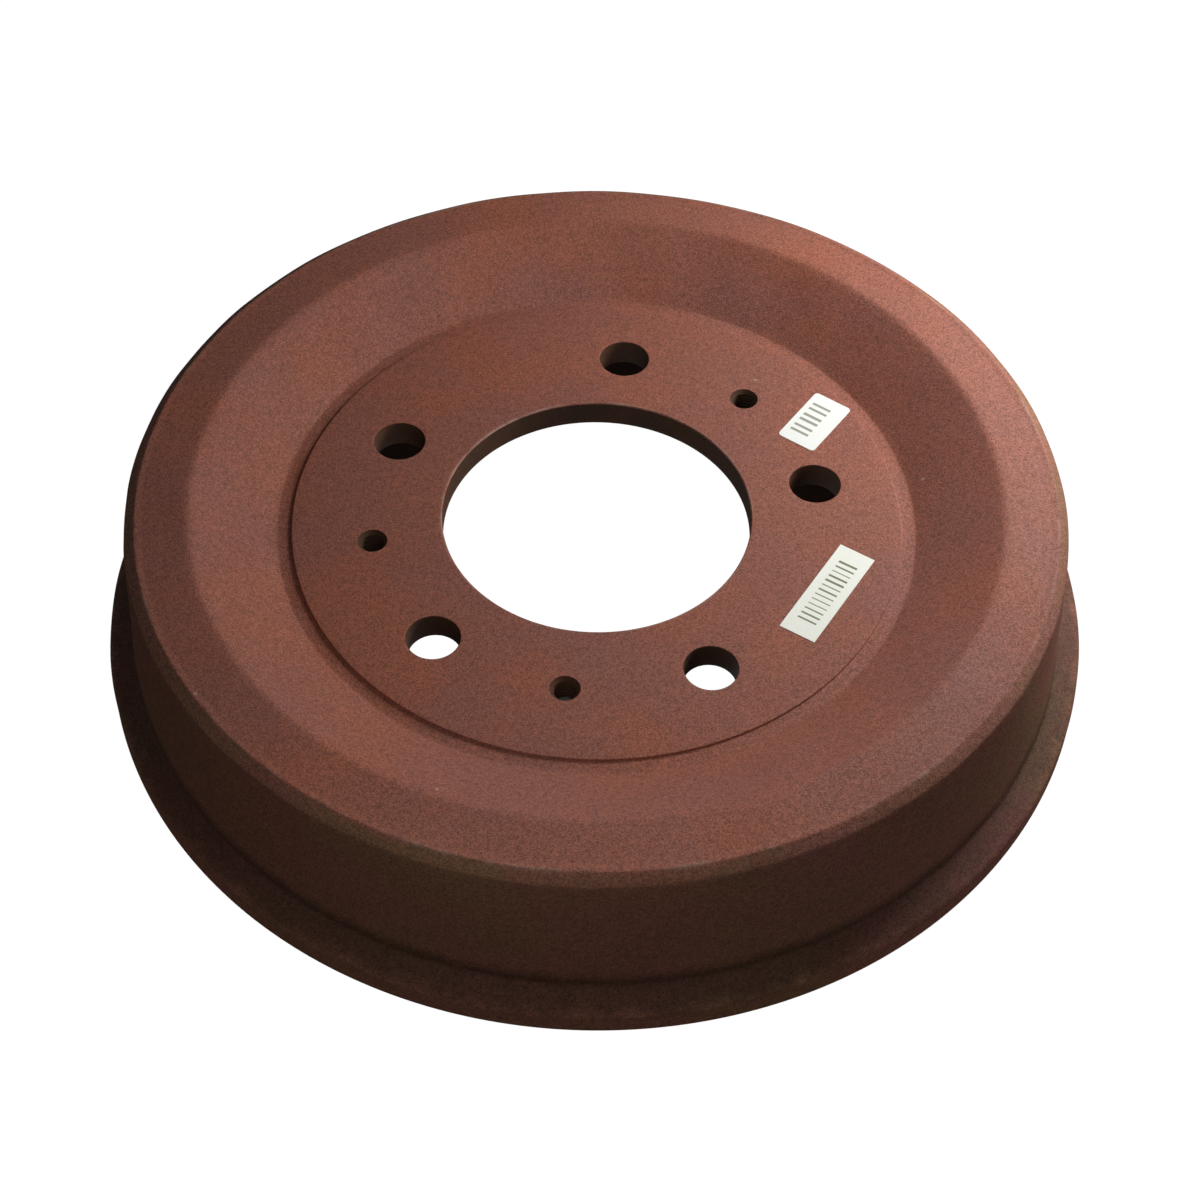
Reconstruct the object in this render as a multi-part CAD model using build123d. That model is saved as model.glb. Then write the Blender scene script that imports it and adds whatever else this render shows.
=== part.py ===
from build123d import *
from math import cos, hypot, radians, sin
import os

# Brake drum for a wheel on five studs: one iron casting, with two paper labels stuck on its wheel face.
# Millimetres. The origin is the centre of the open rim's face, +Z runs along the axle towards the
# wheel, and +X passes through the first stud hole. The drum stands on its open rim.

# ---- drum wall: it is turned inside and drafted outside, so it thickens towards the open rim
friction_d = 279.4            # turned surface that the shoes press on
wall_at_shoulder = 3.7        # wall thickness under the shoulder's bevel
wall_at_flange = 7.8          # wall thickness where the flange starts
relief_depth = 0.7            # run-out groove for the turning tool, at the closed end
relief_width = 2.5
rim_lead_in = 1.0             # bevel that leads the shoes in
shoulder_bevel_width = 3.4    # bevel between the crown and the wall
shoulder_bevel_drop = 2.6
crown_edge_round = 1.5        # between the crown and the bevel
shoulder_round = 1.5          # between the bevel and the wall
inner_corner_cut = 3.0

# ---- stiffening flange round the open rim
flange_reach = 8.0            # how far it stands out from the wall
flange_root_height = 11.4     # its top at the wall, above the rim's face
flange_edge_height = 8.1      # its top at the outer edge
flange_root_cut = 2.0
flange_edge_cut = 0.9

# ---- web: a flat wheel face, a dished cone that rises round it, and a flat crown that ends at the shoulder
wheel_face_height = 43.9      # above the rim's face
wheel_face_d = 188.8          # edge of the raised wheel face
wheel_face_step = 0.8         # how far it stands above the strip round it
strip_width = 4.4             # cast strip between the step and the foot of the cone
crown_rise = 13.7             # crown above the wheel face
crown_width = 16.1            # from its crest, at the top of the cone, to the shoulder's bevel
web_thickness = 9.0           # between the wheel face and the hub face
crown_thickness = 7.0         # cone and crown, square to their faces
cone_foot_round = 2.0
crest_round = 3.0

# ---- holes through the web
pilot_bore_d = 96.0           # centres the drum on the hub
pilot_edge_cut = 0.5
pitch_circle_d = 139.7
stud_count = 5
stud_hole_d = 16.0
screw_hole_d = 6.8            # core of a tapped hole, on the same circle
screw_hole_azimuths = (36, 180, 252)   # each midway between two studs
screw_edge_cut = 1.2          # countersink on the wheel face
hole_edge_cut = 0.3

# ---- labels: each has a place (distance from the wheel face's edge, turn round the axle) and a lie
label_thickness = 0.15
small_label_length = 23.6
small_label_width = 13.4
small_label_corner = 2.2
small_label_inset = 13.2
small_label_azimuth = 19.2
small_label_lie_angle = 43.7
long_label_length = 38.3
long_label_width = 11.8
long_label_inset = 17.8
long_label_azimuth = -35.5
long_label_lie_angle = 46.9

# ---- radii and heights that follow from the sizes above
friction_r = friction_d / 2
relief_r = friction_r + relief_depth
shoulder_r = friction_r + wall_at_shoulder
wall_foot_r = friction_r + wall_at_flange
rim_r = wall_foot_r + flange_reach
wheel_face_r = wheel_face_d / 2
cone_foot_r = wheel_face_r + strip_width
bevel_r = shoulder_r - shoulder_bevel_width
crest_r = bevel_r - crown_width
pilot_r = pilot_bore_d / 2
pitch_r = pitch_circle_d / 2
stud_pitch = 360 / stud_count

hub_face_height = wheel_face_height - web_thickness
strip_height = wheel_face_height - wheel_face_step
crown_height = wheel_face_height + crown_rise
ceiling_height = crown_height - crown_thickness
shoulder_height = crown_height - shoulder_bevel_drop
cone_slope = (crown_height - strip_height) / (crest_r - cone_foot_r)


def under_cone(height):
    """The point of the cone's inner face at a height, one crown thickness under its outer face."""
    fall = crown_thickness * hypot(1, cone_slope)
    return cone_foot_r + (height - strip_height + fall) / cone_slope, height


def corner(r, z, rounding=0, cut=0):
    """A corner of the section: where it lies, the radius that rounds it or the cut that breaks it."""
    return Vector(r, z), rounding, cut


def break_corners(corners):
    """Points and radii of the outline: a corner with a cut becomes a point on each of its sides."""
    points, radii = [], []
    for i, (here, rounding, cut) in enumerate(corners):
        if cut:
            for beside in (corners[i - 1][0], corners[(i + 1) % len(corners)][0]):
                points.append(here + (beside - here).normalized() * cut)
                radii.append(0)
        else:
            points.append(here)
            radii.append(rounding)
    return points, radii


def casting_section():
    """Half of the drum's section, from the pilot bore out over the wheel side and back along the inside."""
    relief_height = ceiling_height - inner_corner_cut - relief_width
    outside = [
        corner(pilot_r, wheel_face_height, cut=pilot_edge_cut),
        corner(wheel_face_r, wheel_face_height),
        corner(wheel_face_r, strip_height),
        corner(cone_foot_r, strip_height, rounding=cone_foot_round),
        corner(crest_r, crown_height, rounding=crest_round),
        corner(bevel_r, crown_height, rounding=crown_edge_round),
        corner(shoulder_r, shoulder_height, rounding=shoulder_round),
        corner(wall_foot_r, flange_root_height, cut=flange_root_cut),
        corner(rim_r, flange_edge_height, cut=flange_edge_cut),
        corner(rim_r, 0, cut=flange_edge_cut),
    ]
    inside = [
        corner(friction_r, 0, cut=rim_lead_in),
        corner(friction_r, relief_height),
        corner(relief_r, relief_height + relief_depth),
        corner(relief_r, ceiling_height, cut=inner_corner_cut),
        corner(*under_cone(ceiling_height)),
        corner(*under_cone(hub_face_height)),
        corner(pilot_r, hub_face_height, cut=pilot_edge_cut),
    ]
    points, radii = break_corners(outside + inside)
    with BuildSketch(Plane.XZ) as section:
        with BuildLine():
            FilletPolyline(points, radius=radii, close=True)
        make_face()
    return section.sketch


def round_hole(diameter, face_cut=hole_edge_cut):
    """A cutter for one hole through the web, with its edge bevelled on both faces."""
    r = diameter / 2
    with BuildSketch(Plane.XZ) as outline:
        with BuildLine():
            Polyline(
                (0, hub_face_height),
                (r + hole_edge_cut, hub_face_height),
                (r, hub_face_height + hole_edge_cut),
                (r, wheel_face_height - face_cut),
                (r + face_cut, wheel_face_height),
                (0, wheel_face_height),
                close=True,
            )
        make_face()
    return revolve(outline.sketch, Axis.Z)


def on_pitch_circle(cutter, azimuth):
    """The cutter moved out to the pitch circle, at an angle round the axle."""
    turn = radians(azimuth)
    return Pos(pitch_r * cos(turn), pitch_r * sin(turn), 0) * cutter


def make_casting():
    """The drum: its section turned round the axle, then the stud and screw holes."""
    casting = revolve(casting_section(), Axis.Z)
    stud_hole = round_hole(stud_hole_d)
    screw_hole = round_hole(screw_hole_d, screw_edge_cut)
    holes = [on_pitch_circle(stud_hole, i * stud_pitch) for i in range(stud_count)]
    holes += [on_pitch_circle(screw_hole, azimuth) for azimuth in screw_hole_azimuths]
    return casting - holes


def stick_on(outline, inset, azimuth, lie):
    """A label of this outline on the wheel face, its long side turned to its lie."""
    turn = radians(azimuth)
    r = wheel_face_r - inset
    place = Pos(r * cos(turn), r * sin(turn), wheel_face_height) * Rot(0, 0, lie)
    return place * extrude(outline, label_thickness)


parts = {
    "drum_casting": make_casting(),
    "small_label": stick_on(
        RectangleRounded(small_label_length, small_label_width, small_label_corner),
        small_label_inset, small_label_azimuth, small_label_lie_angle,
    ),
    "long_label": stick_on(
        Rectangle(long_label_length, long_label_width),
        long_label_inset, long_label_azimuth, long_label_lie_angle,
    ),
}

os.makedirs("parts", exist_ok=True)
for name, solid in parts.items():
    export_step(solid, f"parts/{name}.step")
print("OK")
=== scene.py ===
"""Looks of a brake drum: a primed iron casting with two paper labels, standing on a pale floor."""

from math import ceil, cos, hypot, pi, radians, sin, tan

import bpy
import numpy as np
from mathutils import Matrix, Vector


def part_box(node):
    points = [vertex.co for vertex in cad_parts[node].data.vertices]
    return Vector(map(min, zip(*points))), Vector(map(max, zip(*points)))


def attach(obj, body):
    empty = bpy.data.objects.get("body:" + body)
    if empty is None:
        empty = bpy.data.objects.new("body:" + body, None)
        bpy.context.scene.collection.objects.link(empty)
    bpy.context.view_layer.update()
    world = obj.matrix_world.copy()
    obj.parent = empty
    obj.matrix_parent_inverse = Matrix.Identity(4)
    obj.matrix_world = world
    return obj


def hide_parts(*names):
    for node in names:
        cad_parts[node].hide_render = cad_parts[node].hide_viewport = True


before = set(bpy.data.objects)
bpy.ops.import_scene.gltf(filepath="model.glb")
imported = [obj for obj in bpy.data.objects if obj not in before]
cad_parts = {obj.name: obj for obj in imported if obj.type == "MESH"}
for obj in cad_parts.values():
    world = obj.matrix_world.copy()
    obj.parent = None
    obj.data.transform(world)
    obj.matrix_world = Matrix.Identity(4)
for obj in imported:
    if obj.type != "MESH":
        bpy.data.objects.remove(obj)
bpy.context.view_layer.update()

MM = 0.001

# ---- the casting's section, in millimetres: radii from the axle, heights above the open rim's face
rim_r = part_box("drum_casting")[1].x / MM
pilot_r = 48.0
wheel_face_r = 94.4
cone_foot_r = 98.8
crest_r = 123.9
bevel_r = 140.0
shoulder_r = 143.4
wall_foot_r = 147.5
friction_r = 139.7
relief_r = 140.4

wheel_face_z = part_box("small_label")[0].z / MM
web_thickness = 9.0
face_step = 0.8
crown_rise = 13.7
crown_thickness = 7.0
bevel_drop = 2.6
flange_root_z = 11.4
flange_edge_z = 8.1
relief_width = 2.5
inner_corner_round = 3.0
rim_lead_in = 1.0

hub_face_z = wheel_face_z - web_thickness
strip_z = wheel_face_z - face_step
crown_z = wheel_face_z + crown_rise

# ---- holes through the web, all on one circle
pitch_r = 69.85
stud_count = 5
stud_hole_r = 8.0
stud_edge_round = 0.35
screw_core_r = 3.4
screw_outer_r = 4.0
screw_pitch = 1.25
screw_edge_cut = 1.2
screw_tail_cut = 0.3
screw_azimuths = [radians(a) for a in (36, 180, 252)]

# ---- paper labels: length, width, corner radius, distance from the axle, place and lie round it
small_label = dict(length=23.6, width=13.4, corner=1.3, r=81.2, azimuth=19.2, lie=43.7)
long_label = dict(length=38.3, width=11.8, corner=0.15, r=76.6, azimuth=-35.5, lie=46.9)
paper_thickness = 0.15

# ---- the cast skin's wander: depth, waves, their lobes round the axle, their pace along the outline
skin_depth = 0.25
skin_waves = 14
skin_lobes = (2, 26)
skin_pace = 0.22

# ---- how finely the surfaces are cut
cuts_around = 336
outline_pitch = 2.2
arc_pitch = radians(11)
stud_cuts = 72
flare_points = 7
screw_cuts = 36
thread_row = 0.13
label_rings = 16
label_corner_points = 9
floor_cuts = 96

# ---- the coats: a band is where it begins and where it is full, and a reach counts from its middle
grain_size = 0.36
side_coat_band = (bevel_r - 0.9, bevel_r + 1.1)
# the rim band: painted bounce light on the rim's face, lighter downwards
rim_band = (flange_edge_z + 1.5, flange_edge_z - 2.5)
wall_band = (flange_root_z + 1, flange_root_z + 7)
# painted shade in the corner at the flange root: its height, and its reach from there
root_shade_z = flange_root_z + 0.8
root_shade_reach = (1.6, 0.4)
lumpy_r = bevel_r + 1
lumpy_reach = (3.5, 1.0)

# ---- worn places and painted edge highlights: edge lines by radius and half width, and the worn colour's share in lines and nicks
crown_line_r = bevel_r - 0.1
crown_line_width = 0.9
bore_line_r = pilot_r + 0.25
bore_line_width = 0.8
line_strength = 0.4
nick_strength = 0.55

# ---- the view: the camera looks down on the wheel face, and the first stud hole is to its right
view_turn = radians(-11.27)
view_elevation = radians(49.85)
view_roll = radians(0.99)
view_distance = 624.2
view_aside = 1.0
view_below = 27.4
lens = 60.3
film_width = 36.0

# ---- painted pools of light on the floor, where the camera sees it through the holes: middle and radius
painted_light_pools = [(0, 33, 56), (-51.5, -22.5, 12), (36.7, -33, 12)]
pool_edge = (0.5, -0.5)
floor_rings = [1.0, 500.0, 4000.0]

# ---- light from all round: its strength at the horizon and its loss towards overhead, and a glow in it
horizon_light = 0.46
overhead_loss = 0.70
horizon_rise = (-0.04, -0.01)
glow_azimuth = 16
glow_elevation = -13
glow_strength = 3.0
glow_power = 10.0


# ------------------------------------------------------------------ meshes

def full_turn(cuts):
    """Angles of one turn in equal steps, without the one that closes it."""
    return np.linspace(0, 2 * pi, cuts, endpoint=False)


def grid_mesh(name, points, wrap_rows=False, wrap_columns=False, caps=False):
    """A mesh from a grid of points (rows, columns, 3), in metres.

    Each cell is a quad, a wrapped side joins up, and caps close the first and the last row.
    """
    rows, columns = points.shape[:2]
    i = np.arange(rows if wrap_rows else rows - 1)[:, None]
    j = np.arange(columns if wrap_columns else columns - 1)[None, :]
    i_next, j_next = (i + 1) % rows * columns, (j + 1) % columns
    i = i * columns
    quads = np.stack([i + j, i_next + j, i_next + j_next, i + j_next], -1).reshape(-1, 4)
    faces = quads.tolist()
    if caps:
        last_row = (rows - 1) * columns + np.arange(columns)
        faces += [np.arange(columns).tolist(), last_row[::-1].tolist()]
    mesh = bpy.data.meshes.new(name)
    mesh.from_pydata(points.reshape(-1, 3).tolist(), [], faces)
    return mesh


def place(name, data):
    """An object of this mesh, lamp or camera, at the origin."""
    piece = bpy.data.objects.new(name, data)
    bpy.context.scene.collection.objects.link(piece)
    return piece


def smooth(mesh, sharpest=radians(35)):
    """Smooth shading, with edges left sharp where the faces turn by more than this."""
    mesh.shade_smooth()
    mesh.set_sharp_from_angle(angle=sharpest)


def spin(outline):
    """Points of an outline (radius, height) turned round the axle: x = r cos t, y = r sin t."""
    turn = full_turn(cuts_around)
    r, z = outline[..., 0], outline[..., 1]
    return np.stack([r * np.cos(turn), r * np.sin(turn), z + 0 * turn], -1)


def round_off(corners):
    """A closed outline with its corners rounded, and the finish of each of its points.

    A corner of turn t and radius R becomes an arc that starts R tan(t/2) before it and ends as far
    after it, cut by angle. A straight side is cut by length, and carries its finish to its points.
    """
    at = np.array([c[:2] for c in corners], float)
    radius = np.array([c[2] for c in corners], float)
    way_in = at - np.roll(at, 1, 0)
    way_in /= np.linalg.norm(way_in, axis=1)[:, None]
    way_out = np.roll(way_in, -1, 0)
    bend = way_in[:, 0] * way_out[:, 1] - way_in[:, 1] * way_out[:, 0]
    turn = np.arctan2(bend, (way_in * way_out).sum(1))
    reach = (radius * np.tan(np.abs(turn) / 2))[:, None]
    starts, ends = at - way_in * reach, at + way_out * reach
    points, finishes = [], []
    for k, corner in enumerate(corners):
        arc_cuts = max(3, ceil(abs(turn[k]) / arc_pitch))
        swept = np.linspace(0, turn[k], arc_cuts + 1)[:, None]
        inward = np.sign(turn[k]) * radius[k] * np.array([-way_in[k][1], way_in[k][0]])
        arc = starts[k] + inward * (1 - np.cos(swept)) + way_in[k] * radius[k] * np.sin(np.abs(swept))
        leaving = starts[(k + 1) % len(corners)]
        cuts = max(1, ceil(np.linalg.norm(leaving - ends[k]) / outline_pitch))
        side = ends[k] + (leaving - ends[k]) * np.linspace(0, 1, cuts + 1)[1:-1, None]
        points += [arc, side]
        finishes += [corner[3]] * (len(arc) + len(side))
    return np.vstack(points), np.array(finishes)


def skin_wander(turn, way, seed):
    """A slow unevenness, never above the surface.

    Cosine waves of whole lobes round the axle and of some pace along the outline are added, and
    their sum is squashed by tanh into the range from minus the skin's depth to nought.
    """
    draw = np.random.default_rng(seed)
    total = 0
    for _ in range(skin_waves):
        lobes = draw.integers(*skin_lobes)
        pace = draw.uniform(-skin_pace, skin_pace)
        phase = draw.uniform(0, 2 * pi)
        total = total + np.cos(lobes * turn + pace * way + phase)
    return skin_depth * (np.tanh(total / skin_waves ** 0.5) - 1) / 2


# ------------------------------------------------------------------ the casting

PRIMED, TURNED, HOLE_WALL = range(3)


def under_cone(z):
    """The point of the cone's inner face at a height, one crown thickness under its outer face."""
    slope = (crown_z - strip_z) / (crest_r - cone_foot_r)
    return cone_foot_r + (z - strip_z + crown_thickness * hypot(1, slope)) / slope, z


def casting_corners():
    """Corners of the drum's section: radius, height, rounding, and the finish of the next side."""
    ceiling_z = crown_z - crown_thickness
    relief_z = ceiling_z - inner_corner_round - relief_width
    return [
        (pilot_r, wheel_face_z, 0.5, PRIMED),
        (wheel_face_r, wheel_face_z, 0.4, PRIMED),
        (wheel_face_r, strip_z, 0.35, PRIMED),
        (cone_foot_r, strip_z, 2.0, PRIMED),
        (crest_r, crown_z, 5.0, PRIMED),
        (bevel_r, crown_z, 1.5, PRIMED),
        (shoulder_r, crown_z - bevel_drop, 1.5, PRIMED),
        (wall_foot_r, flange_root_z, 1.5, PRIMED),
        (rim_r, flange_edge_z, 2.4, PRIMED),
        (rim_r, 0, 0.9, PRIMED),
        (friction_r + rim_lead_in, 0, 0.2, TURNED),
        (friction_r, rim_lead_in, 0.2, TURNED),
        (friction_r, relief_z, 0.1, TURNED),
        (relief_r, relief_z + relief_r - friction_r, 0.2, TURNED),
        (relief_r, ceiling_z, inner_corner_round, PRIMED),
        (*under_cone(ceiling_z), 4.0, PRIMED),
        (*under_cone(hub_face_z), 6.0, PRIMED),
        (pilot_r, hub_face_z, 0.5, HOLE_WALL),
    ]


def casting_body():
    """The section turned round the axle, with its cast skin let in along the outline's normal.

    The wheel face and the rim's face are turned flat, so the skin does not wander there.
    """
    outline, finishes = round_off(casting_corners())
    ahead = np.roll(outline, -1, 0) - np.roll(outline, 1, 0)
    outward = np.stack([-ahead[:, 1], ahead[:, 0]], -1)
    outward /= np.linalg.norm(outward, axis=1)[:, None]
    way = np.cumsum(np.linalg.norm(np.diff(outline, axis=0, append=outline[:1]), axis=1))
    r, z = outline.T
    margin = 1
    turned_flat = (r < wheel_face_r + margin) | (z < margin)
    cast = (finishes == PRIMED) & ~turned_flat
    turn = full_turn(cuts_around)
    depth = skin_wander(turn[None, :], way[:, None], seed=11) * cast[:, None]
    points = spin(outline[:, None, :] + depth[..., None] * outward[:, None, :])
    mesh = grid_mesh("casting_body", points * MM, wrap_rows=True, wrap_columns=True)
    mesh.polygons.foreach_set("material_index", np.repeat(finishes, cuts_around).astype(np.int32))
    return place("casting_body", mesh)


def plug(z, r, azimuth):
    """A plug on the pitch circle, from its radius over height (rows) and turn (columns)."""
    turn = full_turn(r.shape[1])
    x = pitch_r * cos(azimuth) + r * np.cos(turn)
    y = pitch_r * sin(azimuth) + r * np.sin(turn)
    points = np.stack([x, y, z[:, None] + 0 * turn], -1)
    mesh = grid_mesh("hole_plug", points * MM, wrap_columns=True, caps=True)
    mesh.polygons.foreach_set("material_index", np.full(len(mesh.polygons), HOLE_WALL, np.int32))
    return mesh


def stud_plug(azimuth):
    """A round plug that flares by a quarter circle as it leaves each face of the web."""
    clear, reach = 0.03, 1
    swing = np.linspace(0, pi / 2, flare_points)
    flare_r = stud_hole_r + stud_edge_round * (1 - np.cos(swing))
    flare_z = stud_edge_round * (np.sin(swing) - 1) + clear
    above = [[wheel_face_z + reach], wheel_face_z + flare_z[::-1]]
    below = [hub_face_z - flare_z, [hub_face_z - reach]]
    r = np.concatenate([flare_r[-1:], flare_r[::-1], flare_r, flare_r[-1:]])
    return plug(np.concatenate(above + below), r[:, None] + np.zeros(stud_cuts), azimuth)


def screw_plug(azimuth):
    """A plug with a screw thread, a countersink on the wheel face and a small one on the hub face.

    The thread's depth over height z and turn t falls by the flanks' slope from the middle of its
    groove, which climbs one pitch to the turn: z/pitch + t/(2 pi) is whole there. The groove's flat is
    an eighth of the pitch wide, and the depth is held between the core and the outer radius. Each
    countersink is a cone of 45 degrees, and the widest of the three counts.
    """
    reach = 0.6
    z = np.arange(wheel_face_z + reach, hub_face_z - reach, -thread_row)[:, None]
    climb = z / screw_pitch + full_turn(screw_cuts)[None, :] / (2 * pi)
    from_groove = np.abs(climb - np.round(climb)) * screw_pitch
    depth = screw_outer_r - screw_core_r
    flank = tan(radians(60))
    groove = np.clip(depth + (screw_pitch / 16 - from_groove) * flank, 0, depth)
    mouth = np.minimum(z - wheel_face_z, 0) + screw_edge_cut
    tail = np.minimum(hub_face_z - z, 0) + screw_tail_cut
    return plug(z[:, 0], screw_core_r + np.maximum(groove, np.maximum(mouth, tail)), azimuth)


def cut(body, plug_mesh):
    """Takes a plug out of the body, and keeps the result as the body's own mesh."""
    tool = place("plug", plug_mesh)
    for finish in body.data.materials:
        plug_mesh.materials.append(finish)
    taking = body.modifiers.new("hole", "BOOLEAN")
    taking.object = tool
    taking.operation = "DIFFERENCE"
    taking.solver = "EXACT"
    taking.material_mode = "INDEX"
    seen = body.evaluated_get(bpy.context.evaluated_depsgraph_get())
    left = bpy.data.meshes.new_from_object(seen)
    body.modifiers.clear()
    body.data = left
    bpy.data.objects.remove(tool)


def drum_piece(finishes):
    """The casting with its holes, shaded smooth."""
    body = casting_body()
    for finish in finishes:
        body.data.materials.append(finish)
    plugs = [stud_plug(2 * pi * k / stud_count) for k in range(stud_count)]
    plugs += [screw_plug(azimuth) for azimuth in screw_azimuths]
    for mesh in plugs:
        cut(body, mesh)
    smooth(body.data)
    body.name = "drum_skin"
    return body


# ------------------------------------------------------------------ labels

def label_piece(name, sheet, finish, lift=0.0):
    """A paper label stuck on the wheel face.

    A fan of points runs from the middle to a rounded rectangle: a point at share s of the way is at
    s times the outline's point, and the paper lifts by the lift times s to the sixth on one corner.
    """
    half_l, half_w, corner = sheet["length"] / 2, sheet["width"] / 2, sheet["corner"]
    swing = np.linspace(0, pi / 2, label_corner_points)
    quarter = np.stack([np.cos(swing), np.sin(swing)], -1) * corner
    middles = [(half_l - corner, half_w - corner), (corner - half_l, half_w - corner),
               (corner - half_l, corner - half_w), (half_l - corner, corner - half_w)]
    edge = []
    for k, middle in enumerate(middles):
        c, s = (1, 0, -1, 0)[k], (0, 1, 0, -1)[k]
        edge.append(np.array(middle) + quarter @ np.array([[c, s], [-s, c]]))
    edge = np.vstack(edge)
    share = np.linspace(0.02, 1, label_rings)[:, None]
    along, across = share * edge[:, 0], share * edge[:, 1]
    corner_share = np.clip(along / half_l, 0, 1) ** 6 * np.clip(across / half_w, 0, 1) ** 6
    high = paper_thickness + lift * corner_share
    rings = np.stack([along, across, high], -1)
    under = np.stack([along[-1], across[-1], high[-1] - paper_thickness], -1)
    back = np.stack([along[0], across[0], 0 * along[0]], -1)
    points = np.vstack([rings, under[None], back[None]])
    lie, azimuth = radians(sheet["lie"]), radians(sheet["azimuth"])
    flat = points[..., :2].copy()
    points[..., 0] = sheet["r"] * cos(azimuth) + flat[..., 0] * cos(lie) - flat[..., 1] * sin(lie)
    points[..., 1] = sheet["r"] * sin(azimuth) + flat[..., 0] * sin(lie) + flat[..., 1] * cos(lie)
    points[..., 2] += wheel_face_z
    mesh = grid_mesh(name, points * MM, wrap_columns=True, caps=True)
    layout = mesh.uv_layers.new(name="sheet")
    corners = np.empty(len(mesh.loops), np.int32)
    mesh.loops.foreach_get("vertex_index", corners)
    layout.uv.foreach_set("vector", flat.reshape(-1, 2)[corners].reshape(-1).astype(np.float32))
    mesh.materials.append(finish)
    smooth(mesh)
    return place(name, mesh)


# ------------------------------------------------------------------ finishes

def feed(tree, node, **sockets):
    """Gives values or links to a node's inputs, by title, or by number as in _0."""
    for title, value in sockets.items():
        key = int(title[1:]) if title[0] == "_" else title.replace("_", " ")
        if isinstance(value, bpy.types.NodeSocket):
            tree.links.new(value, node.inputs[key])
        else:
            node.inputs[key].default_value = value


def add(tree, kind, settings=None, **sockets):
    """A node of this kind. Settings are its own fields, and sockets are what its inputs are fed."""
    node = tree.nodes.new("ShaderNode" + kind)
    for field, value in (settings or {}).items():
        setattr(node, field, value)
    feed(tree, node, **sockets)
    return node


def math(tree, operation, a, b=0.0, c=0.0):
    """The result of one sum, product or other step on numbers."""
    return add(tree, "Math", {"operation": operation}, _0=a, _1=b, _2=c).outputs[0]


def stretch(tree, value, low, high, to_low=0.0, to_high=1.0):
    """A value spread smoothly from one range to another, and held at the ends."""
    spread = add(tree, "MapRange", {"interpolation_type": "SMOOTHSTEP"}, Value=value, From_Min=low,
                 From_Max=high, To_Min=to_low, To_Max=to_high)
    return spread.outputs[0]


def within(tree, length, band):
    """How far a length is into a band, which is given in millimetres by where it begins and is full."""
    return stretch(tree, length, band[0] * MM, band[1] * MM)


def apart(tree, a, b):
    """How far apart two numbers are."""
    return math(tree, "ABSOLUTE", math(tree, "SUBTRACT", a, b))


def blend(tree, share, a, b, way="MIX"):
    """Two colours mixed by a share."""
    node = add(tree, "Mix", {"data_type": "RGBA", "blend_type": way}, _0=share, _6=a, _7=b)
    return node.outputs[2]


def noise(tree, where, scale, detail=2.0, roughness=0.5):
    """A noise value at a place, with its scale in lumps to the metre."""
    lumps = add(tree, "TexNoise", None, Vector=where, Scale=scale, Detail=detail, Roughness=roughness)
    return lumps.outputs[0]


def grey(tree, value):
    """A colour of equal red, green and blue."""
    return add(tree, "CombineColor", None, Red=value, Green=value, Blue=value).outputs[0]


def new_group(name, inputs, outputs):
    """An empty node group with these named inputs (kind and value) and outputs (kind)."""
    tree = bpy.data.node_groups.new(name, "ShaderNodeTree")
    for title, (kind, value) in inputs.items():
        socket = tree.interface.new_socket(title, in_out="INPUT", socket_type="NodeSocket" + kind)
        if value is not None:
            socket.default_value = value
    for title, kind in outputs.items():
        tree.interface.new_socket(title, in_out="OUTPUT", socket_type="NodeSocket" + kind)
    return tree, tree.nodes.new("NodeGroupInput").outputs, tree.nodes.new("NodeGroupOutput").inputs


def use_group(tree, group, **sockets):
    """The outputs of a group placed in a tree, with its own values."""
    return add(tree, "Group", {"node_tree": group}, **sockets).outputs


def cast_grain_group():
    """Grain of a sand-cast or sprayed skin: its height, and a light and a tint for each grain.

    The height is noise in two sizes with small pits in it.
    """
    tree, given, result = new_group(
        "cast_grain",
        {"Vector": ("Vector", None), "Grain Size": ("Float", 0.0006), "Coarse": ("Float", 0.5),
         "Pits": ("Float", 0.3)},
        {"Height": "Float", "Speckle": "Float", "Tint": "Float"})
    scale = math(tree, "DIVIDE", 1.0, given["Grain Size"])
    fine = noise(tree, given["Vector"], scale, detail=3.0, roughness=0.6)
    coarse = noise(tree, given["Vector"], math(tree, "MULTIPLY", scale, 0.22))
    coarser = math(tree, "MULTIPLY", scale, 0.35)
    cells = add(tree, "TexVoronoi", None, Vector=given["Vector"], Scale=coarser)
    pit = stretch(tree, cells.outputs["Distance"], 0.05, 0.28)
    height = math(tree, "MULTIPLY_ADD", coarse, given["Coarse"], fine)
    height = math(tree, "MULTIPLY_ADD", pit, given["Pits"], height)
    tree.links.new(height, result["Height"])
    finer = math(tree, "MULTIPLY", scale, 1.1)
    grains = add(tree, "TexVoronoi", None, Vector=given["Vector"], Scale=finer)
    drawn = add(tree, "SeparateColor", None, Color=grains.outputs["Color"]).outputs
    both = math(tree, "MULTIPLY_ADD", coarse, 0.3, math(tree, "MULTIPLY", fine, 0.7))
    soft = math(tree, "MULTIPLY", stretch(tree, both, 0.3, 0.7), 0.4)
    tree.links.new(math(tree, "MULTIPLY_ADD", drawn[0], 0.6, soft), result["Speckle"])
    tree.links.new(drawn[1], result["Tint"])
    return tree


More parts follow.
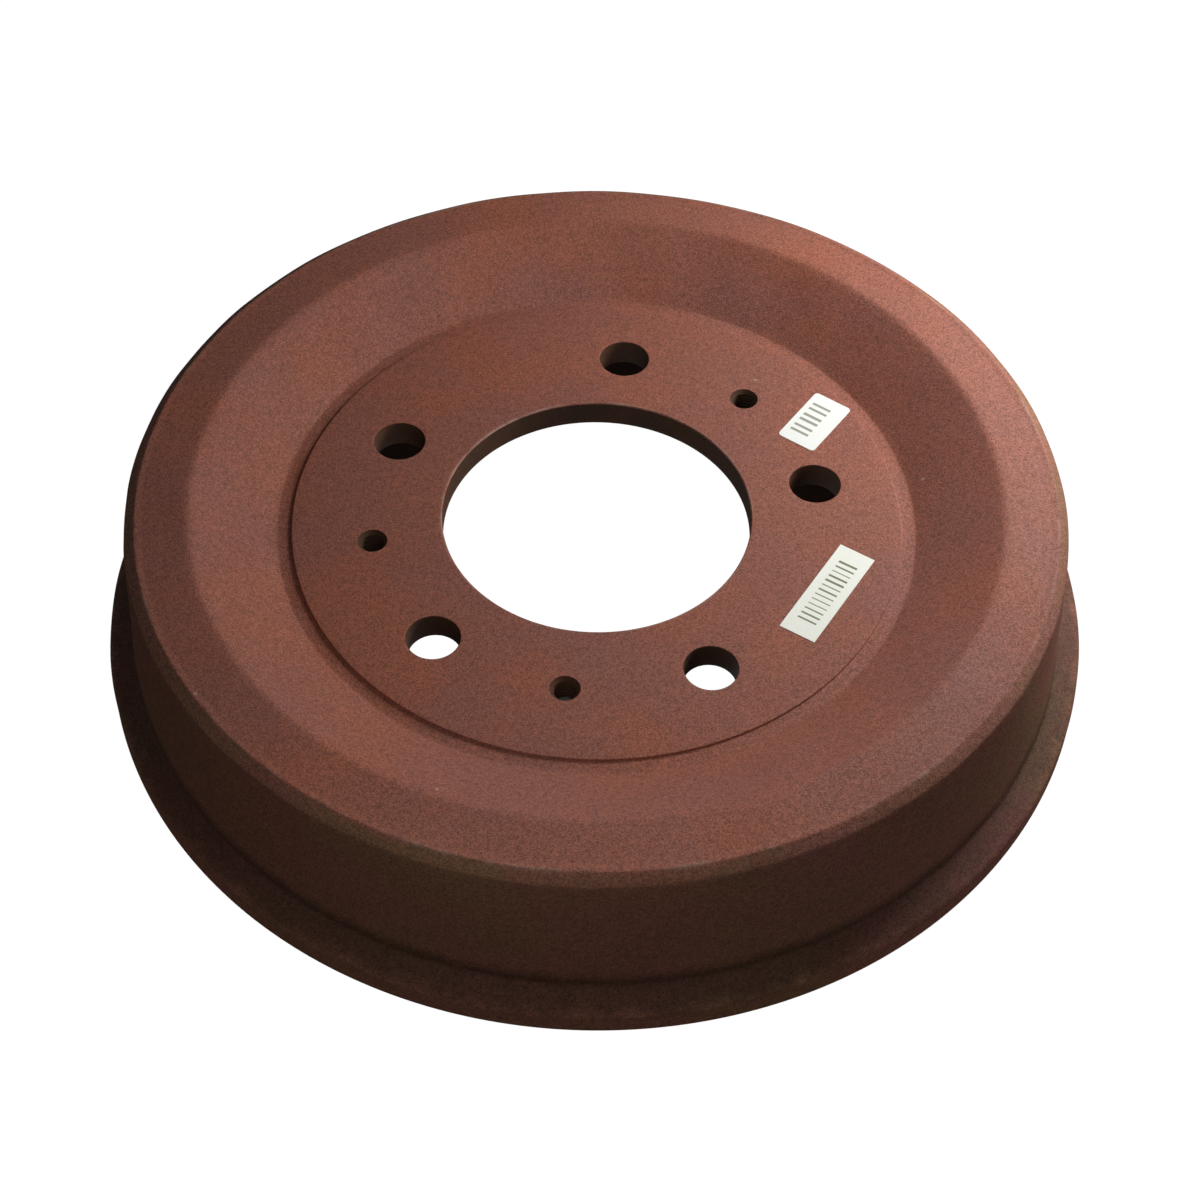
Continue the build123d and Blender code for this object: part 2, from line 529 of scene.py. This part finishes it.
def mottle_group():
    """A coat's uneven tone: slow patches of two tints over a base, and a fine speckle.

    The speckle changes the light by its depth, and the tint adds as much red as it takes blue.
    """
    tree, given, result = new_group(
        "coat_mottle",
        {"Vector": ("Vector", None),
         "Base": ("Color", None), "Warm": ("Color", None), "Dull": ("Color", None),
         "Patch Size": ("Float", 0.02), "Patches": ("Float", 0.5),
         "Speckle": ("Float", 0.5), "Speckle Depth": ("Float", 0.2),
         "Tint": ("Float", 0.5), "Tint Depth": ("Float", 0.1)},
        {"Color": "Color"})
    scale = math(tree, "DIVIDE", 1.0, given["Patch Size"])
    aside = add(tree, "VectorMath", {"operation": "ADD"}, _0=given["Vector"], _1=(3.1, 1.7, 0.4))
    warm = stretch(tree, noise(tree, given["Vector"], scale, detail=3.0), 0.40, 0.66)
    dull = stretch(tree, noise(tree, aside.outputs[0], scale, detail=3.0), 0.40, 0.66)
    tone = blend(tree, math(tree, "MULTIPLY", warm, given["Patches"]), given["Base"], given["Warm"])
    tone = blend(tree, math(tree, "MULTIPLY", dull, given["Patches"]), tone, given["Dull"])
    light = math(tree, "SUBTRACT", given["Speckle"], 0.5)
    light = math(tree, "MULTIPLY_ADD", light, given["Speckle Depth"], 1.0)
    warmth = math(tree, "MULTIPLY", math(tree, "SUBTRACT", given["Tint"], 0.5), given["Tint Depth"])
    red = math(tree, "MULTIPLY_ADD", light, warmth, light)
    blue = math(tree, "SUBTRACT", light, math(tree, "MULTIPLY", light, warmth))
    shift = add(tree, "CombineColor", None, Red=red, Green=light, Blue=blue).outputs[0]
    tree.links.new(blend(tree, 1.0, tone, shift, "MULTIPLY"), result["Color"])
    return tree


def wear_and_highlight_group():
    """A pale line, part worn paint and part painted highlight: strong where an edge is near, and broken
    up by noise along it.

    The line falls off straight to nought at its width, and comes in where 1.6 noise + amount > 1.1.
    """
    tree, given, result = new_group(
        "edge_wear_and_highlight",
        {"Vector": ("Vector", None), "Distance": ("Float", 0.0), "Width": ("Float", 0.0008),
         "Amount": ("Float", 0.5)},
        {"Mask": "Float"})
    away = math(tree, "DIVIDE", math(tree, "ABSOLUTE", given["Distance"]), given["Width"])
    near = math(tree, "SUBTRACT", 1.0, away)
    patches = noise(tree, given["Vector"], 55.0, detail=4.0, roughness=0.65)
    amount = math(tree, "SUBTRACT", given["Amount"], 1.1)
    kept = math(tree, "ADD", math(tree, "MULTIPLY", patches, 1.6), amount)
    mask = math(tree, "MULTIPLY", math(tree, "MAXIMUM", near, 0.0), stretch(tree, kept, 0.0, 0.5))
    tree.links.new(mask, result["Mask"])
    return tree


def new_finish(name):
    """A material with its tree, its surface shader and the object's own coordinates."""
    material = bpy.data.materials.new(name)
    material.use_nodes = True
    tree = material.node_tree
    surface = tree.nodes["Principled BSDF"]
    where = add(tree, "TexCoord").outputs["Object"]
    return material, tree, surface, where


def bump(tree, surface, height, distance):
    """Feeds a height to the surface's normal, with its full depth in metres."""
    raised = add(tree, "Bump", None, Strength=1.0, Distance=distance, Height=height)
    feed(tree, surface, Normal=raised.outputs[0])


def side_tone_with_painted_light(tree, height):
    """The side coat's tone over height: darker towards the flange and lighter up the wall, with painted
    bounce light on the rim's face and painted shade in the corner at the flange root.
    """
    on_wall = within(tree, height, wall_band)
    rim_bounce = within(tree, height, rim_band)
    # painted shade in the corner at the flange root
    root_shade = within(tree, apart(tree, height, root_shade_z * MM), root_shade_reach)
    height_tone = math(tree, "MULTIPLY_ADD", on_wall, 0.5, 0.5)
    # painted bounce light on the rim's face
    height_tone = math(tree, "MULTIPLY_ADD", rim_bounce, 0.75, height_tone)
    return grey(tree, math(tree, "MULTIPLY_ADD", root_shade, -0.10, height_tone))


def worn_and_highlit_lines(tree, wear_and_highlight, where, out, high):
    """Pale lines along the crown's outer edge and round the bore, part wear and part painted highlight,
    by their distances from the axle.

    Below the crown the distance to its edge counts as a metre more, so its line stays on top.
    """
    from_crown_edge = math(tree, "SUBTRACT", out, crown_line_r * MM)
    under_crown = math(tree, "GREATER_THAN", (crown_z - 1.2) * MM, high)
    from_crown_edge = math(tree, "ADD", from_crown_edge, under_crown)
    from_bore = math(tree, "SUBTRACT", out, bore_line_r * MM)
    lines = []
    for distance, width, amount in (
            (from_crown_edge, crown_line_width, 0.35), (from_bore, bore_line_width, 0.55)):
        line = use_group(tree, wear_and_highlight, Vector=where, Distance=distance, Width=width * MM, Amount=amount)
        lines.append(line["Mask"])
    return math(tree, "MAXIMUM", lines[0], lines[1])


def nicks(tree, where):
    """Small spots in one of twenty cells, drawn by the cell's colour. A cell is about 21 mm wide."""
    cells = add(tree, "TexVoronoi", {"voronoi_dimensions": "2D"}, Vector=where, Scale=48.0).outputs
    drawn = add(tree, "SeparateColor", None, Color=cells["Color"]).outputs[0]
    spot = stretch(tree, cells["Distance"], 0.035, 0.015)
    return math(tree, "MULTIPLY", spot, math(tree, "GREATER_THAN", drawn, 0.95))


def primer_finish(name, grain, mottle, wear_and_highlight, base, warm, dull, side, worn_and_highlit):
    """Matt red-oxide primer sprayed over iron from the wheel side, thin and brown on the drum's sides.

    The thin coat begins at the crown's outer edge, at a place that drifts with noise. The pale worn
    colour shows in lines along the edges, part wear and part painted highlight, and in a few nicks. The
    surface is lumpy near the bevel.
    """
    material, tree, surface, where = new_finish(name)
    skin = use_group(tree, grain, Vector=where, Grain_Size=grain_size * MM, Coarse=0.6, Pits=0.35)
    coats = []
    for colours, patch_size, patches in (((base, warm, dull), 0.04, 0.7), (side, 0.05, 0.85)):
        coats.append(use_group(
            tree, mottle, Vector=where, Base=colours[0], Warm=colours[1], Dull=colours[2],
            Patch_Size=patch_size, Patches=patches, Speckle=skin["Speckle"], Speckle_Depth=1.2,
            Tint=skin["Tint"], Tint_Depth=0.18)["Color"])
    spots = add(tree, "SeparateXYZ", None, Vector=where).outputs
    flat = add(tree, "CombineXYZ", None, X=spots["X"], Y=spots["Y"]).outputs[0]
    out = add(tree, "VectorMath", {"operation": "LENGTH"}, _0=flat).outputs["Value"]
    drift = noise(tree, where, 90.0, detail=6.0, roughness=0.7)
    drift = math(tree, "MULTIPLY_ADD", drift, 6 * MM, -3 * MM)
    below = within(tree, math(tree, "ADD", drift, out), side_coat_band)
    below = math(tree, "MULTIPLY", below, math(tree, "GREATER_THAN", (crown_z + 1) * MM, spots["Z"]))
    # the side's tone, with painted bounce light on the rim and painted shade at the flange root
    shade = side_tone_with_painted_light(tree, math(tree, "ADD", spots["Z"], drift))
    colour = blend(tree, below, coats[0], blend(tree, 1.0, coats[1], shade, "MULTIPLY"))
    # pale lines at the edges: part wear, part painted highlight
    lines = math(tree, "MULTIPLY", worn_and_highlit_lines(tree, wear_and_highlight, where, out, spots["Z"]), line_strength)
    colour = blend(tree, lines, colour, worn_and_highlit)
    on_top = math(tree, "MULTIPLY_ADD", below, -nick_strength, nick_strength)
    colour = blend(tree, math(tree, "MULTIPLY", nicks(tree, where), on_top), colour, worn_and_highlit)
    feed(tree, surface, Base_Color=colour, Roughness=stretch(tree, skin["Speckle"], 0, 1, 0.78, 0.62),
         Specular_IOR_Level=math(tree, "MULTIPLY_ADD", below, -0.15, 0.35))
    near_bevel = within(tree, apart(tree, out, lumpy_r * MM), lumpy_reach)
    high = math(tree, "GREATER_THAN", spots["Z"], (crown_z - 6) * MM)
    near_bevel = math(tree, "MULTIPLY", near_bevel, high)
    lumps = math(tree, "MULTIPLY", noise(tree, where, 170.0, detail=4.0, roughness=0.6), near_bevel)
    bump(tree, surface, math(tree, "MULTIPLY_ADD", lumps, 4.0, skin["Height"]), 0.12 * MM)
    return material


def hole_wall_finish(name, grain, mottle, base, warm, dull):
    """A dark brown coat on the drilled walls of the holes, much darker than the primer on the faces."""
    material, tree, surface, where = new_finish(name)
    skin = use_group(tree, grain, Vector=where, Grain_Size=grain_size * MM, Coarse=0.6, Pits=0.35)
    coat = use_group(tree, mottle, Vector=where, Base=base, Warm=warm, Dull=dull, Patch_Size=0.022,
                     Patches=0.75, Speckle=skin["Speckle"], Speckle_Depth=0.5)
    feed(tree, surface, Base_Color=coat["Color"], Roughness=0.8, Specular_IOR_Level=0.12)
    bump(tree, surface, skin["Height"], 0.06 * MM)
    return material


def turned_iron_finish(name):
    """Bare iron as the tool left it: fine grooves round the axle, close together and uneven."""
    material, tree, surface, where = new_finish(name)
    height = add(tree, "SeparateXYZ", None, Vector=where).outputs["Z"]
    ring = add(tree, "CombineXYZ", None, Z=height).outputs[0]
    grooves = noise(tree, ring, 4200.0, detail=4.0, roughness=0.7)
    stain = stretch(tree, noise(tree, where, 45.0, detail=4.0), 0.4, 0.75)
    tint = blend(tree, stain, (0.46, 0.45, 0.44, 1), (0.32, 0.28, 0.24, 1))
    tint = blend(tree, stretch(tree, grooves, 0.3, 0.7, 0.35, 0.0), tint, (0.12, 0.11, 0.10, 1))
    feed(tree, surface, Base_Color=tint, Metallic=0.6,
         Roughness=stretch(tree, grooves, 0.3, 0.7, 0.38, 0.55))
    bump(tree, surface, grooves, 0.03 * MM)
    return material


def paper_finish(name, paper, ink, pitch, most, widths, bar_height, rise=0.0, split=0.0):
    """Smooth paper with a row of plain printed bars, numbered both ways from the sheet's middle.

    A bar's width is drawn from its number between two shares of the pitch, and the most is the last
    number. With a split, each number holds two bars, as far from its middle as the split says.
    """
    material, tree, surface, where = new_finish(name)
    sheet = add(tree, "UVMap", {"uv_map": "sheet"}).outputs[0]
    spots = add(tree, "SeparateXYZ", None, Vector=sheet).outputs
    step = math(tree, "DIVIDE", spots["X"], pitch)
    number = math(tree, "FLOOR", math(tree, "ADD", step, 0.5))
    off = apart(tree, apart(tree, step, number), split)
    draw = add(tree, "TexWhiteNoise", {"noise_dimensions": "1D"}, W=number).outputs["Value"]
    half = math(tree, "MULTIPLY_ADD", draw, (widths[1] - widths[0]) / 2, widths[0] / 2)
    in_bar = stretch(tree, math(tree, "SUBTRACT", off, half), -0.02, 0.02, 1, 0)
    in_row = math(tree, "LESS_THAN", math(tree, "ABSOLUTE", number), most + 0.5)
    from_line = apart(tree, spots["Y"], rise)
    in_height = stretch(tree, math(tree, "SUBTRACT", from_line, bar_height / 2), -0.06, 0.06, 1, 0)
    printed = math(tree, "MULTIPLY", math(tree, "MULTIPLY", in_bar, in_row), in_height)
    fibre = noise(tree, where, 2500.0, detail=3.0)
    shade = blend(tree, stretch(tree, fibre, 0.3, 0.7), paper, [c * 0.93 for c in paper[:3]] + [1])
    colour = blend(tree, math(tree, "MULTIPLY", printed, 0.9), shade, ink)
    feed(tree, surface, Base_Color=colour, Roughness=0.55, Specular_IOR_Level=0.3)
    bump(tree, surface, fibre, 0.02 * MM)
    return material


# ------------------------------------------------------------------ floor, lights and camera

def floor_finish():
    """A white floor with painted shadow under the drum but for three painted pools of light, and clear
    from below.

    The pools lie where the view through the bore and the two nearest stud holes meets the floor. Each
    is a disc, given in the view's own turn by its middle and its radius. Their edges are a little soft.
    """
    material, tree, surface, where = new_finish("pale_floor")
    tree.nodes.remove(surface)
    turned = add(tree, "VectorRotate", {"rotation_type": "Z_AXIS"}, Vector=where, Angle=-view_turn)
    spots = turned.outputs[0]
    from_pools = 1.0
    for x, y, r in painted_light_pools:
        gap = add(tree, "VectorMath", {"operation": "DISTANCE"}, _0=spots, _1=(x * MM, y * MM, 0))
        from_pool = math(tree, "SUBTRACT", gap.outputs["Value"], r * MM)
        from_pools = math(tree, "MINIMUM", from_pool, from_pools)
    from_middle = add(tree, "VectorMath", {"operation": "LENGTH"}, _0=spots).outputs["Value"]
    open_floor = math(tree, "GREATER_THAN", from_middle, friction_r * MM)
    # painted light: the floor glows in the pools and outside the drum, and is dark under it as painted
    # shadow
    painted_light = math(tree, "MAXIMUM", within(tree, from_pools, pool_edge), open_floor)
    glow = add(tree, "Emission", None, Color=(1, 1, 1, 1), Strength=painted_light)
    matt = add(tree, "BsdfDiffuse", None, Color=(0.06, 0.06, 0.06, 1))
    clear = add(tree, "BsdfTransparent")
    both = add(tree, "AddShader", None, _0=glow.outputs[0], _1=matt.outputs[0])
    under = add(tree, "NewGeometry").outputs["Backfacing"]
    choice = add(tree, "MixShader", None, _0=under, _1=both.outputs[0], _2=clear.outputs[0])
    feed(tree, tree.nodes["Material Output"], Surface=choice.outputs[0])
    return material


def pale_floor():
    """A round floor at the height of the drum's rim: rings x = r cos t, y = r sin t.

    Its light and its shadows reach the camera only.
    """
    rings = np.array(floor_rings)[:, None]
    turn = full_turn(floor_cuts)
    points = np.stack([rings * np.cos(turn), rings * np.sin(turn), 0 * rings * turn], -1)[::-1]
    mesh = grid_mesh("floor", points * MM, wrap_columns=True)
    mesh.flip_normals()
    mesh.materials.append(floor_finish())
    floor = place("floor", mesh)
    floor.visible_diffuse = False
    floor.visible_glossy = False
    floor.visible_shadow = False


def way_to(azimuth, elevation):
    """The direction at these angles, counted from the view's right and from the horizon."""
    turn, rise = view_turn + radians(azimuth), radians(elevation)
    return cos(turn) * cos(rise), sin(turn) * cos(rise), sin(rise)


def soft_light(name, azimuth, elevation, distance, size, power):
    """A round soft light aimed at the middle of the wheel face, at a place given from the view."""
    lamp = bpy.data.lights.new(name, "AREA")
    lamp.shape = "DISK"
    lamp.size = size * MM
    lamp.energy = power
    light = place(name, lamp)
    way = Vector(way_to(azimuth, elevation))
    light.location = (way * distance + Vector((0, 0, wheel_face_z))) * MM
    light.rotation_euler = way.to_track_quat("Z", "Y").to_euler()
    light.visible_camera = False


def surroundings():
    """The light from all round, behind a white backdrop that only the camera sees.

    None comes from below the horizon. Above it the light falls straight with the rise, to nought. A
    glow on the right adds a power of the cosine from its middle, which lies a little under the horizon.
    """
    world = bpy.data.worlds.new("surroundings")
    world.use_nodes = True
    tree = world.node_tree
    tree.nodes.clear()
    way = add(tree, "TexCoord").outputs["Generated"]
    rise = add(tree, "SeparateXYZ", None, Vector=way).outputs["Z"]
    all_round = math(tree, "MULTIPLY_ADD", rise, -overhead_loss, horizon_light)
    all_round = math(tree, "MAXIMUM", all_round, 0.0)
    middle = way_to(glow_azimuth, glow_elevation)
    facing = add(tree, "VectorMath", {"operation": "DOT_PRODUCT"}, _0=way, _1=middle).outputs["Value"]
    glow = math(tree, "POWER", math(tree, "MAXIMUM", facing, 0.0), glow_power)
    light = math(tree, "MULTIPLY_ADD", glow, glow_strength, all_round)
    light = math(tree, "MULTIPLY", light, stretch(tree, rise, *horizon_rise))
    seen = add(tree, "LightPath").outputs["Is Camera Ray"]
    dim = add(tree, "Background", None, Color=(1, 1, 1, 1), Strength=light)
    white = add(tree, "Background", None, Color=(1, 1, 1, 1), Strength=1.0)
    choice = add(tree, "MixShader", None, _0=seen, _1=dim.outputs[0], _2=white.outputs[0])
    add(tree, "OutputWorld", None, Surface=choice.outputs[0])
    bpy.context.scene.world = world


def set_camera():
    """The camera: its axes are turned and rolled, and it stands along them from the face's middle."""
    back = Vector((0, -cos(view_elevation), sin(view_elevation)))
    right = Vector((1, 0, 0))
    up = back.cross(right)
    level = Matrix((right, up, back)).transposed()
    axes = Matrix.Rotation(view_turn, 3, "Z") @ level @ Matrix.Rotation(view_roll, 3, "Z")
    data = bpy.data.cameras.new("camera")
    data.lens = lens
    data.sensor_width = film_width
    camera = place("camera", data)
    standing = axes @ Vector((view_aside, -view_below, view_distance)) + Vector((0, 0, wheel_face_z))
    camera.matrix_world = Matrix.Translation(standing * MM) @ axes.to_4x4()
    bpy.context.scene.camera = camera


set_camera()
surroundings()
soft_light("key_light", azimuth=29.4, elevation=33.3, distance=336, size=160, power=1.26)
soft_light("front_light", azimuth=-96.4, elevation=43.4, distance=226, size=160, power=0.076)
soft_light("under_light", azimuth=0, elevation=-90, distance=190, size=200, power=0.17)
pale_floor()
bpy.context.scene.view_settings.view_transform = "Standard"

grain = cast_grain_group()
mottle = mottle_group()
wear_and_highlight = wear_and_highlight_group()
red_primer = primer_finish(
    "red_primer", grain, mottle, wear_and_highlight,
    base=(0.258, 0.088, 0.055, 1), warm=(0.290, 0.088, 0.047, 1), dull=(0.232, 0.084, 0.061, 1),
    side=[(0.222, 0.092, 0.058, 1), (0.240, 0.091, 0.071, 1), (0.195, 0.103, 0.053, 1)],
    worn_and_highlit=(0.46, 0.34, 0.28, 1))
hole_primer = hole_wall_finish(
    "hole_primer", grain, mottle,
    base=(0.068, 0.031, 0.017, 1), warm=(0.088, 0.033, 0.018, 1), dull=(0.048, 0.028, 0.016, 1))
turned_iron = turned_iron_finish("turned_iron")
white_paper = paper_finish(
    "white_paper", paper=(0.86, 0.87, 0.82, 1), ink=(0.25, 0.255, 0.19, 1), pitch=5.6, most=1,
    widths=(0.17, 0.23), bar_height=6.6, rise=1.6, split=0.22)
ivory_paper = paper_finish(
    "ivory_paper", paper=(0.90, 0.91, 0.82, 1), ink=(0.13, 0.13, 0.05, 1), pitch=2.15, most=6,
    widths=(0.16, 0.42), bar_height=6.2)

drum = drum_piece([red_primer, turned_iron, hole_primer])
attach(drum, "root")
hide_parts("drum_casting")

small_sheet = label_piece("small_label_sheet", small_label, white_paper, lift=0.25)
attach(small_sheet, "root")
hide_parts("small_label")

long_sheet = label_piece("long_label_sheet", long_label, ivory_paper, lift=0.15)
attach(long_sheet, "root")
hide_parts("long_label")
